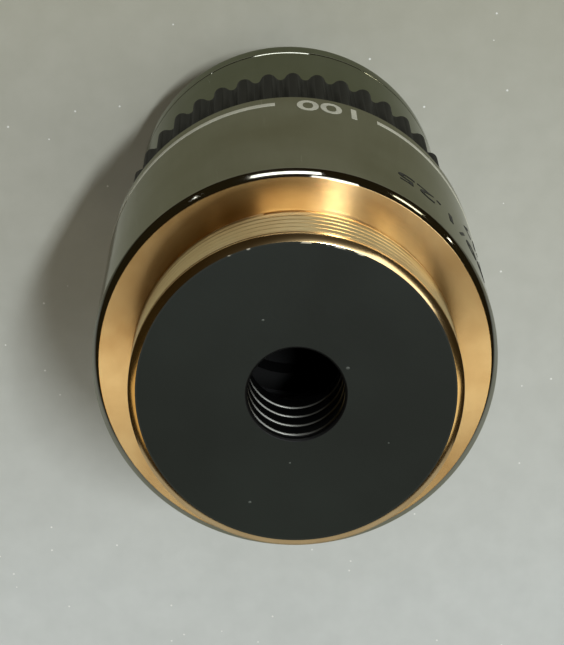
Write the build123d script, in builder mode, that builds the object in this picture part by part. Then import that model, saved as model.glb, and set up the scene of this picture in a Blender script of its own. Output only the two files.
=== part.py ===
from build123d import *
import math
import os

os.makedirs("parts", exist_ok=True)

# A spring-loaded 100x oil-immersion microscope objective for a 160 mm tube, all lengths in mm.
# The origin is the centre of the mounting shoulder. +Z is the optical axis, towards the microscope's
# tube, so the thread points up and the objective stands on its nose as it hangs in use.

# Driving dimensions

# Screw mount
thread_diameter = 20.32
stub_length = 4.8
stub_chamfer_width = 0.46
stub_chamfer_height = 0.25
stub_wall = 2.2

# Rear stop
rear_hole_diameter = 5.9
rear_hole_edge_break = 0.15
rear_stop_below_shoulder = 1.5
light_trap_pitch = 1.4
light_trap_depth = 0.2
light_trap_count = 4

# Main barrel
barrel_diameter = 25.3
barrel_length = 16.85
barrel_edge_break = 0.35
barrel_front_edge_break = 0.1
barrel_wall = 2.25
spring_chamber_step = 1.4
sleeve_thread_length = 4.15
thread_end_relief = 0.1

# Grip ring
grip_length = 8.95
grip_step = 0.62
grip_wall = 1.13
flute_count = 42
flute_depth = 0.5
flute_radius_per_pitch = 0.333
flute_edge_radius_per_pitch = 0.08
grip_edge_break = 0.25

# Front sleeve
sleeve_step = 1.28
sleeve_length = 8.4
sleeve_edge_break = 0.12
guide_bore_share = 0.6324
guide_relief_depth = 0.3
guide_land_length = 7.3
cone_thread_wall = 1.77
cone_thread_length = 4.0

# Nose cone
cone_land_length = 2.05
cone_opening_gap = 0.35
cone_lip_width = 0.75
cone_seat_below_land = 0.35
cone_shoulder_radius = 0.6

# Optical layout along the axis. A lens's bend is a face's radius of curvature over the lens's own radius,
# and a share is a piece's radius over that of the piece it sits in, so the optics follow the barrel
parfocal_distance = 45.0
working_distance = 0.13
nose_reach = 1.55
retract_travel = 2.0

# Lens barrel
rear_land_length = 5.1
front_land_length = 5.3
barrel_rear_gap = 10.9
neck_share = 0.675
lower_bore_share = 0.815
upper_bore_share = 0.7026
ledge_above_neck = 3.3
shim_thickness = 0.3
shim_inset = 0.3

# Guide screw and its slot
guide_screw_diameter = 1.6
guide_screw_head_diameter = 2.8
guide_screw_head_height = 0.7
guide_screw_drive_width = 0.35
guide_slot_depth = 1.5
guide_screw_below_land = 2.6

# Return spring
spring_wire_diameter = 1.0
spring_side_gap = 1.4
spring_end_turns = 0.75
spring_active_turns = 4.0
spring_wire_sides = 8

# Clearances
running_clearance = 0.03
screwed_clearance = 0.02
slot_clearance = 0.05
open_clearance = 0.3
cement_gap = 0.03

# Front cell and front lens
tip_face_share = 0.796
front_cell_height = 3.67
front_cell_cylinder = 0.7
front_cell_spigot_length = 1.6
front_lens_radius = 1.0
front_lens_recess = 0.02
front_lens_rim = 0.5
front_cell_cavity_share = 0.78

# Meniscus lens and cell
meniscus_lens_share = 0.6
meniscus_lower_bend = 2.05
meniscus_upper_bend = 1.25
meniscus_edge_thickness = 0.8
meniscus_cell_height = 3.2
meniscus_seat_width = 0.45
meniscus_seat_height = 0.7

# Lower doublet
lower_lens_share = 0.72
lower_cell_height = 4.4
lower_seat_height = 0.6
lower_front_bend = 3.5
lower_cement_bend = 1.54
lower_rear_bend = 2.36
lower_flint_edge = 1.9
lower_crown_edge = 0.5

# Upper doublet
upper_lens_share = 0.792
upper_cell_height = 5.6
upper_seat_height = 0.8
upper_front_bend = 5.0
upper_cement_bend = 1.81
upper_rear_bend = 2.83
upper_flint_edge = 2.4
upper_crown_edge = 0.6
cell_seat_width = 0.5
cell_groove_width = 0.8
cell_groove_depth = 0.25

# Spacer, stop and lock ring
spacer_length = 6.2
spacer_wall = 0.9
pupil_stop_thickness = 0.4
pupil_diameter = 4.0
pupil_bevel = 0.3
lock_ring_height = 2.2
lock_ring_wall = 1.4
lock_ring_slot_width = 1.0
lock_ring_slot_depth = 0.8

# Centring screws
centring_screw_count = 3
centring_screw_diameter = 1.0
centring_screw_length = 0.9
centring_screw_socket = 0.3

# Radii and levels worked out from the driving dimensions

thread_radius = thread_diameter / 2
barrel_radius = barrel_diameter / 2
sleeve_thread_radius = barrel_radius - barrel_wall
chamber_radius = sleeve_thread_radius - spring_chamber_step
stop_bore_radius = thread_radius - stub_wall
rear_hole_radius = rear_hole_diameter / 2
grip_radius = barrel_radius - grip_step
grip_seat_radius = grip_radius - grip_wall
flute_pitch = 2 * math.pi * grip_radius / flute_count
flute_radius = flute_radius_per_pitch * flute_pitch
flute_edge_radius = flute_edge_radius_per_pitch * flute_pitch
sleeve_radius = barrel_radius - sleeve_step
guide_radius = guide_bore_share * barrel_radius
cone_thread_radius = sleeve_radius - cone_thread_wall
land_radius = guide_radius - running_clearance
neck_radius = neck_share * guide_radius
cone_opening_radius = neck_radius + cone_opening_gap
upper_bore_radius = upper_bore_share * land_radius
lower_bore_radius = lower_bore_share * neck_radius
tip_radius = tip_face_share * neck_radius
cell_radius = upper_bore_radius - screwed_clearance
spigot_radius = lower_bore_radius - screwed_clearance
meniscus_radius = meniscus_lens_share * spigot_radius
lower_radius = lower_lens_share * cell_radius
upper_radius = upper_lens_share * cell_radius

shoulder_z = 0
rear_face_z = shoulder_z + stub_length
chamber_top_z = shoulder_z - rear_stop_below_shoulder
light_trap_middle_z = (rear_face_z + chamber_top_z) / 2
barrel_front_z = shoulder_z - barrel_length
sleeve_top_z = barrel_front_z + sleeve_thread_length
grip_front_z = barrel_front_z - grip_length
sleeve_front_z = grip_front_z - sleeve_length
cone_thread_top_z = sleeve_front_z + cone_thread_length
cone_land_front_z = sleeve_front_z - cone_land_length
cone_seat_z = cone_land_front_z - cone_seat_below_land
tip_z = shoulder_z - (parfocal_distance - working_distance)
cone_front_z = tip_z + nose_reach

lens_barrel_top_z = chamber_top_z - barrel_rear_gap
lens_barrel_shoulder_z = cone_seat_z + shim_thickness
neck_end_z = tip_z + front_cell_height
ledge_z = lens_barrel_shoulder_z + ledge_above_neck

lower_cell_top_z = ledge_z + lower_cell_height
spacer_top_z = lower_cell_top_z + spacer_length
upper_cell_top_z = spacer_top_z + upper_cell_height
pupil_stop_top_z = upper_cell_top_z + pupil_stop_thickness
lock_ring_top_z = pupil_stop_top_z + lock_ring_height

spigot_top_z = neck_end_z + front_cell_spigot_length
meniscus_cell_top_z = spigot_top_z + meniscus_cell_height


def sag(curve, half_width):
    """Height of a spherical cap out to half_width: positive for a convex face, negative for a hollow one."""
    return math.copysign(abs(curve) - math.sqrt(curve**2 - half_width**2), curve)


# Mount barrel: one brass turning, with the screw stub, the shoulder and the plated barrel

with BuildPart() as mount_barrel:
    with BuildSketch(Plane.XZ):
        with BuildLine():
            Polyline(
                (stop_bore_radius, rear_face_z),
                (thread_radius - stub_chamfer_width, rear_face_z),
                (thread_radius, rear_face_z - stub_chamfer_height),
                (thread_radius, shoulder_z),
                (barrel_radius - barrel_edge_break, shoulder_z),
                (barrel_radius, shoulder_z - barrel_edge_break),
                (barrel_radius, barrel_front_z + barrel_front_edge_break),
                (barrel_radius - barrel_front_edge_break, barrel_front_z),
                (sleeve_thread_radius, barrel_front_z),
                (sleeve_thread_radius, sleeve_top_z + thread_end_relief),
                (chamber_radius, sleeve_top_z + thread_end_relief),
                (chamber_radius, chamber_top_z),
                (stop_bore_radius, chamber_top_z),
                close=True,
            )
        make_face()
    revolve(axis=Axis.Z)

# Rear stop: a black plug screwed into the stub, and the return spring pushes on its lower face. Its hole
# lets the light out, and the rings cut into the hole's wall trap what would glance off it

with BuildPart() as rear_stop:
    with BuildSketch(Plane.XZ):
        with BuildLine():
            Polyline(
                (rear_hole_radius + rear_hole_edge_break, rear_face_z),
                (stop_bore_radius - screwed_clearance, rear_face_z),
                (stop_bore_radius - screwed_clearance, chamber_top_z),
                (rear_hole_radius, chamber_top_z),
                (rear_hole_radius, rear_face_z - rear_hole_edge_break),
                close=True,
            )
        make_face()
    revolve(axis=Axis.Z)
    with BuildSketch(Plane.XZ):
        with Locations((rear_hole_radius, light_trap_middle_z)):
            with GridLocations(0, light_trap_pitch, 1, light_trap_count):
                RegularPolygon(light_trap_depth, 4)
    revolve(axis=Axis.Z, mode=Mode.SUBTRACT)

# Grip ring: a black ring with round-bottomed flutes, trapped between the barrel and the sleeve

with BuildPart() as grip_ring:
    with BuildSketch(Plane.XY.offset(grip_front_z)):
        Circle(grip_radius)
        with PolarLocations(grip_radius - flute_depth + flute_radius, flute_count):
            Circle(flute_radius, mode=Mode.SUBTRACT)
        Circle(grip_seat_radius + screwed_clearance, mode=Mode.SUBTRACT)
    extrude(amount=grip_length)
    flute_edges = grip_ring.edges().filter_by(Axis.Z).filter_by(
        lambda edge: math.hypot(edge.center().X, edge.center().Y) > grip_radius - flute_depth / 2
    )
    fillet(flute_edges, radius=flute_edge_radius)
    with BuildSketch(Plane.XZ):
        for end_z, inward in ((grip_front_z, grip_edge_break), (barrel_front_z, -grip_edge_break)):
            with BuildLine():
                Polyline(
                    (grip_radius - grip_edge_break, end_z),
                    (grip_radius + grip_edge_break, end_z),
                    (grip_radius + grip_edge_break, end_z + 2 * inward),
                    close=True,
                )
            make_face()
    revolve(axis=Axis.Z, mode=Mode.SUBTRACT)

# Front sleeve: plated tube that screws into the barrel and guides the lens barrel

sleeve_relief_top_z = sleeve_top_z - guide_land_length
with BuildPart() as front_sleeve:
    with BuildSketch(Plane.XZ):
        with BuildLine():
            Polyline(
                (guide_radius, sleeve_top_z),
                (sleeve_thread_radius - screwed_clearance, sleeve_top_z),
                (sleeve_thread_radius - screwed_clearance, barrel_front_z),
                (grip_seat_radius, barrel_front_z),
                (grip_seat_radius, grip_front_z),
                (sleeve_radius - sleeve_edge_break, grip_front_z),
                (sleeve_radius, grip_front_z - sleeve_edge_break),
                (sleeve_radius, sleeve_front_z + sleeve_edge_break),
                (sleeve_radius - sleeve_edge_break, sleeve_front_z),
                (cone_thread_radius, sleeve_front_z),
                (cone_thread_radius, cone_thread_top_z + thread_end_relief),
                (guide_radius + guide_relief_depth, cone_thread_top_z + thread_end_relief),
                (guide_radius + guide_relief_depth, sleeve_relief_top_z),
                (guide_radius, sleeve_relief_top_z),
                close=True,
            )
        make_face()
    revolve(axis=Axis.Z)
    guide_screw_z = sleeve_relief_top_z - guide_screw_below_land
    radial = Plane(origin=(0, 0, guide_screw_z), x_dir=(0, 0, 1), z_dir=(0, 1, 0))
    head_top_radius = math.sqrt(grip_seat_radius**2 - (guide_screw_head_diameter / 2) ** 2)
    head_seat_radius = head_top_radius - guide_screw_head_height
    with BuildSketch(radial):
        Circle(guide_screw_diameter / 2 + screwed_clearance)
    extrude(amount=grip_radius, mode=Mode.SUBTRACT)
    with BuildSketch(radial.offset(head_seat_radius)):
        Circle(guide_screw_head_diameter / 2 + screwed_clearance)
    extrude(amount=grip_radius - head_seat_radius, mode=Mode.SUBTRACT)

# Nose cone: plated cap that closes the sleeve and carries the seat that stops the lens barrel

with BuildPart() as nose_cone:
    with BuildSketch(Plane.XZ):
        with BuildLine():
            Polyline(
                (guide_radius, cone_thread_top_z),
                (cone_thread_radius - screwed_clearance, cone_thread_top_z),
                (cone_thread_radius - screwed_clearance, sleeve_front_z),
                (sleeve_radius - sleeve_edge_break, sleeve_front_z),
                (sleeve_radius, sleeve_front_z - sleeve_edge_break),
                (sleeve_radius, cone_land_front_z),
                (cone_opening_radius + cone_lip_width, cone_front_z),
                (cone_opening_radius, cone_front_z),
                (cone_opening_radius, cone_seat_z),
                (guide_radius, cone_seat_z),
                close=True,
            )
        make_face()
    revolve(axis=Axis.Z)
    rounded = nose_cone.edges().filter_by(GeomType.CIRCLE).filter_by(
        lambda edge: abs(edge.radius - sleeve_radius) < cement_gap
        and abs(edge.arc_center.Z - cone_land_front_z) < cement_gap
    )
    fillet(rounded, radius=cone_shoulder_radius)

# Parfocal shim: a thin washer on the seat, ground to set the 45 mm parfocal distance

with BuildPart() as parfocal_shim:
    with BuildSketch(Plane.XY.offset(cone_seat_z)):
        Circle(guide_radius - shim_inset)
        Circle(cone_opening_radius, mode=Mode.SUBTRACT)
    extrude(amount=shim_thickness)

# Guide screw: its plain tip runs in the lens barrel's slot and keeps the optics from turning

slot_floor_radius = land_radius - guide_slot_depth
with BuildPart() as guide_screw:
    with BuildSketch(radial.offset(slot_floor_radius + open_clearance)):
        Circle(guide_screw_diameter / 2)
    extrude(amount=head_seat_radius - slot_floor_radius - open_clearance)
    with BuildSketch(radial.offset(head_seat_radius)):
        Circle(guide_screw_head_diameter / 2)
    extrude(amount=guide_screw_head_height)
    with BuildSketch(radial.offset(head_top_radius)):
        Rectangle(guide_screw_head_diameter, guide_screw_drive_width)
    extrude(amount=-guide_screw_head_height / 2, mode=Mode.SUBTRACT)

# Return spring: closed at both ends, pushing the lens barrel down onto its seat. The wire's section has
# eight sides, because a round one swept along a coil breaks into very many facets

spring_radius = chamber_radius - spring_side_gap - spring_wire_diameter / 2
spring_height = barrel_rear_gap - spring_wire_diameter
end_rise = spring_end_turns * spring_wire_diameter
active_rise = spring_height - 2 * end_rise
active_pitch = active_rise / spring_active_turns
spring_start_z = lens_barrel_top_z + spring_wire_diameter / 2
spring_active_z = spring_start_z + end_rise
spring_last_z = spring_active_z + active_rise
end_twist = 360 * spring_end_turns
active_twist = 360 * spring_active_turns


def spring_turns(pitch, rise, start_z, start_angle):
    """A stretch of the wire's centre line, starting at a height and an angle round the axis."""
    stretch = Helix(pitch, rise, spring_radius, mode=Mode.PRIVATE)
    return Location((0, 0, start_z), (0, 0, start_angle)) * stretch


with BuildPart() as return_spring:
    with BuildLine() as coil:
        add(spring_turns(spring_wire_diameter, end_rise, spring_start_z, 0))
        add(spring_turns(active_pitch, active_rise, spring_active_z, end_twist))
        add(spring_turns(spring_wire_diameter, end_rise, spring_last_z, end_twist + active_twist))
    with BuildSketch(Plane(origin=coil.wire() @ 0, z_dir=coil.wire() % 0)):
        RegularPolygon(spring_wire_diameter / 2, spring_wire_sides)
    sweep(path=coil.wire(), is_frenet=True)

# Lens barrel: the sliding tube that holds every lens cell

relief_radius = land_radius - guide_relief_depth
rear_land_bottom_z = lens_barrel_top_z - rear_land_length
front_land_top_z = lens_barrel_shoulder_z + front_land_length
centring_z = meniscus_cell_top_z - meniscus_cell_height / 2
slot_length = guide_screw_diameter + retract_travel + 2 * open_clearance
slot_top_z = guide_screw_z + guide_screw_diameter / 2 + open_clearance
slot_centre_z = slot_top_z - slot_length / 2
with BuildPart() as lens_barrel:
    with BuildSketch(Plane.XZ):
        with BuildLine():
            Polyline(
                (upper_bore_radius, lens_barrel_top_z),
                (land_radius, lens_barrel_top_z),
                (land_radius, rear_land_bottom_z),
                (relief_radius, rear_land_bottom_z),
                (relief_radius, front_land_top_z),
                (land_radius, front_land_top_z),
                (land_radius, lens_barrel_shoulder_z),
                (neck_radius, lens_barrel_shoulder_z),
                (neck_radius, neck_end_z),
                (lower_bore_radius, neck_end_z),
                (lower_bore_radius, ledge_z),
                (upper_bore_radius, ledge_z),
                close=True,
            )
        make_face()
    revolve(axis=Axis.Z)
    slot_plane = Plane(origin=(0, 0, slot_centre_z), x_dir=(0, 0, 1), z_dir=(0, 1, 0))
    with BuildSketch(slot_plane.offset(slot_floor_radius)):
        SlotOverall(slot_length, guide_screw_diameter + 2 * slot_clearance)
    extrude(amount=guide_radius - slot_floor_radius, mode=Mode.SUBTRACT)
    for turn in range(centring_screw_count):
        angle = math.radians(360 * turn / centring_screw_count)
        out = (math.cos(angle), math.sin(angle), 0)
        with BuildSketch(Plane(origin=(0, 0, centring_z), x_dir=(0, 0, 1), z_dir=out)):
            Circle(centring_screw_diameter / 2 + screwed_clearance)
        extrude(amount=land_radius, mode=Mode.SUBTRACT)

# Lenses and their cells are made by functions, because they differ only in their sizes


def ground_lens(lens_radius, edge_bottom_z, edge_height, bottom_curve, top_curve):
    """A round lens with a plain edge and two spherical faces."""
    middle = lens_radius / 2
    edge_top_z = edge_bottom_z + edge_height
    bottom_z = edge_bottom_z - sag(bottom_curve, lens_radius)
    top_z = edge_top_z + sag(top_curve, lens_radius)
    bottom_middle = (middle, bottom_z + sag(bottom_curve, middle))
    top_middle = (middle, top_z - sag(top_curve, middle))
    with BuildPart() as lens:
        with BuildSketch(Plane.XZ):
            with BuildLine():
                ThreePointArc((0, bottom_z), bottom_middle, (lens_radius, edge_bottom_z))
                Line((lens_radius, edge_bottom_z), (lens_radius, edge_top_z))
                ThreePointArc((lens_radius, edge_top_z), top_middle, (0, top_z))
                Line((0, top_z), (0, bottom_z))
            make_face()
        revolve(axis=Axis.Z)
    return lens


def seated_rise(curve, lens_radius):
    """How far a convex lower face lifts the lens's edge off the ledge that its rim rests on."""
    return sag(curve, lens_radius) - sag(curve, lens_radius - cell_seat_width)


def lens_cell(outer_radius, lens_radius, seat_width, seat_height, bottom_z, height):
    """A turned ring with a ledge for the lens and a shallow groove for the cement around its outside."""
    bore_radius = lens_radius + screwed_clearance
    groove_bottom_z = bottom_z + (height - cell_groove_width) / 2
    with BuildPart() as cell:
        with BuildSketch(Plane.XZ):
            with BuildLine():
                Polyline(
                    (lens_radius - seat_width, bottom_z),
                    (outer_radius, bottom_z),
                    (outer_radius, groove_bottom_z),
                    (outer_radius - cell_groove_depth, groove_bottom_z),
                    (outer_radius - cell_groove_depth, groove_bottom_z + cell_groove_width),
                    (outer_radius, groove_bottom_z + cell_groove_width),
                    (outer_radius, bottom_z + height),
                    (bore_radius, bottom_z + height),
                    (bore_radius, bottom_z + seat_height),
                    (lens_radius - seat_width, bottom_z + seat_height),
                    close=True,
                )
            make_face()
        revolve(axis=Axis.Z)
    return cell


# Front cell: the hard tip that screws onto the neck and holds the front lens

front_lens_hole_radius = front_lens_radius + screwed_clearance
front_cell_cavity_radius = front_cell_cavity_share * spigot_radius
with BuildPart() as front_cell:
    with BuildSketch(Plane.XZ):
        with BuildLine():
            Polyline(
                (front_lens_hole_radius, tip_z),
                (tip_radius, tip_z),
                (neck_radius, neck_end_z - front_cell_cylinder),
                (neck_radius, neck_end_z),
                (spigot_radius, neck_end_z),
                (spigot_radius, spigot_top_z),
                (front_cell_cavity_radius, spigot_top_z),
                (front_lens_hole_radius, tip_z + front_lens_rim),
                close=True,
            )
        make_face()
    revolve(axis=Axis.Z)

# Front lens: a hemisphere whose flat face meets the immersion oil

front_lens_z = tip_z + front_lens_recess
with BuildPart() as front_lens:
    with BuildSketch(Plane.XZ):
        with BuildLine():
            Line((0, front_lens_z), (front_lens_radius, front_lens_z))
            CenterArc((0, front_lens_z), front_lens_radius, 0, 90)
            Line((0, front_lens_z + front_lens_radius), (0, front_lens_z))
        make_face()
    revolve(axis=Axis.Z)

# Meniscus lens, centred in its cell by three screws through the neck

meniscus_cell = lens_cell(
    spigot_radius,
    meniscus_radius,
    meniscus_seat_width,
    meniscus_seat_height,
    spigot_top_z,
    meniscus_cell_height,
)
meniscus_lens = ground_lens(
    meniscus_radius,
    spigot_top_z + meniscus_seat_height,
    meniscus_edge_thickness,
    -meniscus_lower_bend * meniscus_radius,
    meniscus_upper_bend * meniscus_radius,
)

with BuildPart() as centring_screws:
    for turn in range(centring_screw_count):
        angle = math.radians(360 * turn / centring_screw_count)
        outward = Vector(math.cos(angle), math.sin(angle), 0)
        screw_plane = Plane(
            origin=outward * lower_bore_radius + Vector(0, 0, centring_z), x_dir=(0, 0, 1), z_dir=outward
        )
        with BuildSketch(screw_plane):
            Circle(centring_screw_diameter / 2)
        extrude(amount=centring_screw_length)
        with BuildSketch(screw_plane.offset(centring_screw_length)):
            RegularPolygon(centring_screw_socket, 6)
        extrude(amount=-centring_screw_length / 2, mode=Mode.SUBTRACT)

# Lower doublet: a hollow-ground flint below a biconvex crown, cemented, in its cell on the ledge

lower_front_curve = lower_front_bend * lower_radius
lower_cement_curve = lower_cement_bend * lower_radius
lower_rear_curve = lower_rear_bend * lower_radius
lower_flint_z = ledge_z + lower_seat_height + seated_rise(lower_front_curve, lower_radius)
lower_doublet_cell = lens_cell(
    cell_radius, lower_radius, cell_seat_width, lower_seat_height, ledge_z, lower_cell_height
)
lower_doublet_flint = ground_lens(
    lower_radius, lower_flint_z, lower_flint_edge, lower_front_curve, -lower_cement_curve
)
lower_doublet_crown = ground_lens(
    lower_radius,
    lower_flint_z + lower_flint_edge + cement_gap,
    lower_crown_edge,
    lower_cement_curve,
    lower_rear_curve,
)

# Upper doublet, in its own cell above the spacer

upper_front_curve = upper_front_bend * upper_radius
upper_cement_curve = upper_cement_bend * upper_radius
upper_rear_curve = upper_rear_bend * upper_radius
upper_flint_z = spacer_top_z + upper_seat_height + seated_rise(upper_front_curve, upper_radius)
upper_doublet_cell = lens_cell(
    cell_radius, upper_radius, cell_seat_width, upper_seat_height, spacer_top_z, upper_cell_height
)
upper_doublet_flint = ground_lens(
    upper_radius, upper_flint_z, upper_flint_edge, upper_front_curve, -upper_cement_curve
)
upper_doublet_crown = ground_lens(
    upper_radius,
    upper_flint_z + upper_flint_edge + cement_gap,
    upper_crown_edge,
    upper_cement_curve,
    upper_rear_curve,
)

# Cell spacer: sets the air space between the two doublets

with BuildPart() as cell_spacer:
    with BuildSketch(Plane.XY.offset(lower_cell_top_z)):
        Circle(cell_radius)
        Circle(cell_radius - spacer_wall, mode=Mode.SUBTRACT)
    extrude(amount=spacer_length)

# Pupil stop: a thin bevelled diaphragm that limits the cone of light

with BuildPart() as pupil_stop:
    with BuildSketch(Plane.XZ):
        with BuildLine():
            Polyline(
                (pupil_diameter / 2, upper_cell_top_z),
                (cell_radius, upper_cell_top_z),
                (cell_radius, pupil_stop_top_z),
                (pupil_diameter / 2 + pupil_bevel, pupil_stop_top_z),
                close=True,
            )
        make_face()
    revolve(axis=Axis.Z)

# Lens lock ring: screwed down on the stack, with two slots for a pin wrench

with BuildPart() as lens_lock_ring:
    with BuildSketch(Plane.XY.offset(pupil_stop_top_z)):
        Circle(cell_radius)
        Circle(cell_radius - lock_ring_wall, mode=Mode.SUBTRACT)
    extrude(amount=lock_ring_height)
    with BuildSketch(Plane.XY.offset(lock_ring_top_z)):
        Rectangle(2 * upper_bore_radius, lock_ring_slot_width)
    extrude(amount=-lock_ring_slot_depth, mode=Mode.SUBTRACT)

pieces = {
    "mount_barrel": mount_barrel,
    "rear_stop": rear_stop,
    "grip_ring": grip_ring,
    "front_sleeve": front_sleeve,
    "nose_cone": nose_cone,
    "parfocal_shim": parfocal_shim,
    "guide_screw": guide_screw,
    "return_spring": return_spring,
    "lens_barrel": lens_barrel,
    "front_cell": front_cell,
    "front_lens": front_lens,
    "meniscus_cell": meniscus_cell,
    "meniscus_lens": meniscus_lens,
    "centring_screws": centring_screws,
    "lower_doublet_cell": lower_doublet_cell,
    "lower_doublet_flint": lower_doublet_flint,
    "lower_doublet_crown": lower_doublet_crown,
    "cell_spacer": cell_spacer,
    "upper_doublet_cell": upper_doublet_cell,
    "upper_doublet_flint": upper_doublet_flint,
    "upper_doublet_crown": upper_doublet_crown,
    "pupil_stop": pupil_stop,
    "lens_lock_ring": lens_lock_ring,
}
for name, piece in pieces.items():
    piece.part.label = name
    export_step(piece.part, f"parts/{name}.step")
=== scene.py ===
# %% [markdown]
# # A sprung microscope objective
#
# An objective is a stack of turned brass pieces: a screw stub that goes into the microscope, a plated
# barrel, a black fluted grip ring, a front sleeve and a nose cone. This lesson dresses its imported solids.
# Almost every piece came off a lathe, so almost every mesh here is spun from a half-section.

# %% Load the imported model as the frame
import math

import bpy
from mathutils import Matrix, Vector


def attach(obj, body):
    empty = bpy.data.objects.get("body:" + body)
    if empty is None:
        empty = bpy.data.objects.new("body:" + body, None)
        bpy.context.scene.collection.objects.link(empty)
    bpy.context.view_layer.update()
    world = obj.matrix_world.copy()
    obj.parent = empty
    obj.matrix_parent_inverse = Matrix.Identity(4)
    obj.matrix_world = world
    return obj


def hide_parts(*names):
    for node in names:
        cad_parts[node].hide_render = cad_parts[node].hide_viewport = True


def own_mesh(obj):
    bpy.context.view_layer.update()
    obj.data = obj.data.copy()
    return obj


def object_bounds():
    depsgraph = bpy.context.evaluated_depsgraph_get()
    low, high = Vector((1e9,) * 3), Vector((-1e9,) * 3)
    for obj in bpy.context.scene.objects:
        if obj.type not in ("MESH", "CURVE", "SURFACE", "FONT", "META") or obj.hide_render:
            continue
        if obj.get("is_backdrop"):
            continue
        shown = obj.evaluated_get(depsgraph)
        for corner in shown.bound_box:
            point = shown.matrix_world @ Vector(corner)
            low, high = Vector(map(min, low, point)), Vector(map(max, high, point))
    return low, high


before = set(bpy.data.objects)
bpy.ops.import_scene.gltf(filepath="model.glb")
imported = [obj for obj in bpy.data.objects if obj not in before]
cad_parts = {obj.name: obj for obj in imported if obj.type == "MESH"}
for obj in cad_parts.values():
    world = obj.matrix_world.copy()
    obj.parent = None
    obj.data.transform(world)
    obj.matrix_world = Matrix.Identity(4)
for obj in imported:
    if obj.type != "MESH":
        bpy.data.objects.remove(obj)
cad_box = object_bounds()
MM = 0.001

# %% [markdown]
# ## Camera
#
# The objective is looked at nearly along its axis, from the thread's side, with the nose pointing away and
# up the picture. The camera's place was found by fitting circles of known size to the outlines, so it is
# written as a point and two directions, and the lens follows from the same fit.

# %% Place the camera
camera_place = Vector((2.034, -51.917, 129.624)) * MM
view_direction = Vector((-0.0088, 0.3542, -0.9351)).normalized()
picture_up = Vector((-0.0033, -0.9352, -0.3542)).normalized()
picture_right = view_direction.cross(picture_up).normalized()
picture_up = picture_right.cross(view_direction)
bpy.ops.object.camera_add(location=camera_place)
camera = bpy.context.object
camera.name = "camera"
turn = Matrix((picture_right, picture_up, -view_direction)).transposed()
camera.matrix_world = Matrix.Translation(camera_place) @ turn.to_4x4()
camera.data.sensor_width = 36
camera.data.lens = 125.58
camera.data.clip_start = 0.01
camera.data.clip_end = 20
bpy.context.scene.camera = camera
bpy.context.scene.view_settings.view_transform = "Standard"
print("camera is", round(camera_place.length / MM, 1), "mm from the shoulder's centre")

# %% [markdown]
# ## Helpers for making meshes
#
# A turned piece starts as one vertex. It is extruded point by point round the half-section, and the Spin
# operator carries that line once round the axis. Doubles are merged and the normals are recalculated, and
# a small Bevel breaks every sharp ring, as the turner's file does, so the edges catch the light.

# %% Helpers
TURN_STEPS = 160


def deselect_all():
    bpy.ops.object.select_all(action="DESELECT")


def only(piece):
    """Makes one object the selected and active one."""
    deselect_all()
    piece.select_set(True)
    bpy.context.view_layer.objects.active = piece


def settle(piece, name):
    """Names a finished piece and moves its place into its mesh, so that the object sits at the origin."""
    only(piece)
    bpy.ops.object.transform_apply(location=True, rotation=True, scale=True)
    piece.name = name
    piece.data.name = name
    return piece


def outline_edges(points):
    """Edges along a list of (radius, height) points in mm, as the active object in edit mode."""
    deselect_all()
    first_radius, first_height = points[0]
    place = (first_radius * MM, 0, first_height * MM)
    bpy.ops.mesh.primitive_plane_add(size=MM, location=place)
    piece = bpy.context.object
    bpy.ops.object.mode_set(mode="EDIT")
    bpy.ops.mesh.select_all(action="SELECT")
    bpy.ops.mesh.merge(type="CENTER")
    for (radius, height), (last_radius, last_height) in zip(points[1:], points):
        step = ((radius - last_radius) * MM, 0, (height - last_height) * MM)
        bpy.ops.mesh.extrude_region_move(TRANSFORM_OT_translate={"value": step})
    return piece


def spin_round(steps, degrees=360, start=0):
    """Carries the selected edges round the Z axis and closes what meets."""
    bpy.ops.mesh.select_all(action="SELECT")
    bpy.ops.mesh.remove_doubles(threshold=0.001 * MM)
    bpy.ops.transform.rotate(value=math.radians(-start), orient_axis="Z", center_override=(0, 0, 0))
    bpy.ops.mesh.select_all(action="SELECT")
    bpy.ops.mesh.spin(steps=steps, angle=math.radians(degrees), center=(0, 0, 0), axis=(0, 0, 1))
    bpy.ops.mesh.select_all(action="SELECT")
    bpy.ops.mesh.remove_doubles(threshold=0.001 * MM)


def finish_modifier(piece, kind, **values):
    """Adds a modifier with its values and applies it at once."""
    only(piece)
    bpy.ops.object.modifier_add(type=kind)
    modifier = piece.modifiers[-1]
    for key, value in values.items():
        setattr(modifier, key, value)
    bpy.ops.object.modifier_apply(modifier=modifier.name)


def smooth(piece, degrees=35):
    only(piece)
    bpy.ops.object.shade_smooth_by_angle(angle=math.radians(degrees))


def break_edges(piece, width, segments=2):
    """Rounds every edge sharper than 25 degrees."""
    finish_modifier(
        piece,
        "BEVEL",
        width=width * MM,
        segments=segments,
        limit_method="ANGLE",
        angle_limit=math.radians(25),
    )


def turned(name, points, edge=0.04, steps=TURN_STEPS):
    """A closed ring spun from its half-section, with its sharp edges broken."""
    piece = outline_edges(list(points) + [points[0]])
    spin_round(steps)
    bpy.ops.mesh.normals_make_consistent(inside=False)
    bpy.ops.object.mode_set(mode="OBJECT")
    settle(piece, name)
    if edge:
        break_edges(piece, edge)
    smooth(piece)
    finish_modifier(piece, "WEIGHTED_NORMAL", keep_sharp=True)
    print(name, len(piece.data.polygons), "faces")
    return piece


def paint(piece, materials, choose=None):
    """Gives a mesh its materials, and each face the one that choose(radius, height) names, in mm."""
    piece.data.materials.clear()
    for material in materials:
        piece.data.materials.append(material)
    for face in piece.data.polygons:
        face.material_index = 0
        if choose:
            face.material_index = choose(math.hypot(face.center.x, face.center.y) / MM, face.center.z / MM)


# %% [markdown]
# ## Effects that several finishes share
#
# A lathe leaves fine rings and handling leaves smudges, and sparse specks give the floor pale flecks of painted
# glitter. Each effect is a node group that gives out a mask or a height, so every material can use it at its
# own scale.

# %% Effect groups


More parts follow.
